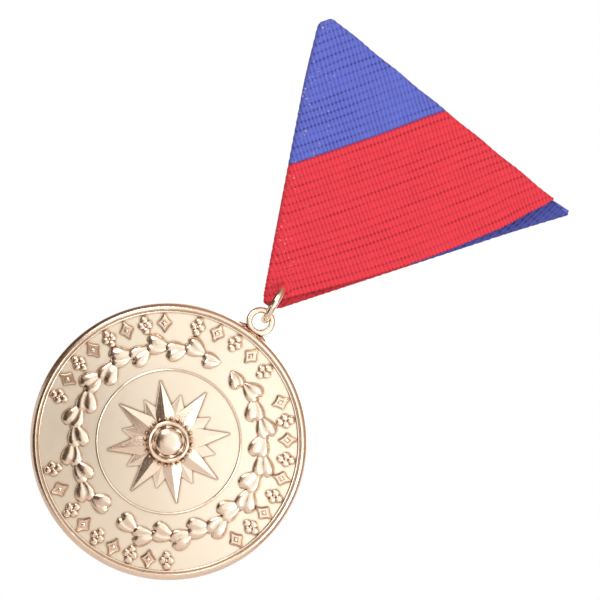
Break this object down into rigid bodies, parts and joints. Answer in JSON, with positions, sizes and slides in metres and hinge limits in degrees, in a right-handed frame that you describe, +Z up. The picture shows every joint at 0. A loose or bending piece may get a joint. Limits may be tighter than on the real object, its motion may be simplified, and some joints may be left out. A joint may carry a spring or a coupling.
{
  "type": "medal",
  "caption": "Struck round medal with wreath and star relief, hung by a split ring from a two-colour folded triangular ribbon with a brooch pin on its back.",
  "frame": {"origin": "on the closed needle's axis, straight above the medal's centre", "axes": "+Z up along the hanging medal, the front faces -Y, +X to the right seen from the front"},
  "size_m": [0.0454, 0.0096, 0.083],
  "materials": {
    "gilt": "pale gilt, polished relief on a satin field",
    "gilt_wire": "pale gilt, drawn wire",
    "ribbon_weave": "ribbed rayon ribbon, half blue and half red",
    "card": "uncoated board",
    "nickel": "nickel plated, lightly brushed",
    "needle_steel": "drawn steel wire",
    "thread": "sewing thread"
  },
  "bodies": {
    "folded_ribbon": {"ribbon": "ribbon_weave", "ribbon_stiffener": "card", "brooch_bar": "nickel", "hinge_bracket": "nickel", "hinge_rivet": "nickel", "catch_body": "nickel", "bar_stitch_1": "thread", "bar_stitch_2": "thread", "bar_stitch_3": "thread", "bar_stitch_4": "thread", "hem_stitch_1": "thread", "hem_stitch_2": "thread", "hem_stitch_3": "thread", "hem_stitch_4": "thread", "hem_stitch_5": "thread"},
    "split_ring": {"jump_ring": "gilt_wire"},
    "medal": {"medal_disc": "gilt", "suspension_eyelet": "gilt"},
    "needle": {"pin_needle": "needle_steel"},
    "lock": {"lock_barrel": "nickel"}
  },
  "joints": [
    {"name": "ring_swing", "type": "hinge", "parent": "folded_ribbon", "child": "split_ring", "pos_m": [0, -0.0045, -0.0291], "axis": [0, 1, 0], "range_deg": [-15, 15]},
    {"name": "medal_tilt", "type": "hinge", "parent": "split_ring", "child": "medal", "pos_m": [0, -0.0045, -0.03185], "axis": [1, 0, 0], "range_deg": [-60, 60]},
    {"name": "needle_hinge", "type": "hinge", "parent": "folded_ribbon", "child": "needle", "pos_m": [-0.0126, 0, 0], "axis": [0, 0, 1], "range_deg": [0, 80]},
    {"name": "lock_turn", "type": "hinge", "parent": "folded_ribbon", "child": "lock", "pos_m": [0.0124, 0, 0], "axis": [-1, 0, 0], "range_deg": [0, 150]}
  ]
}
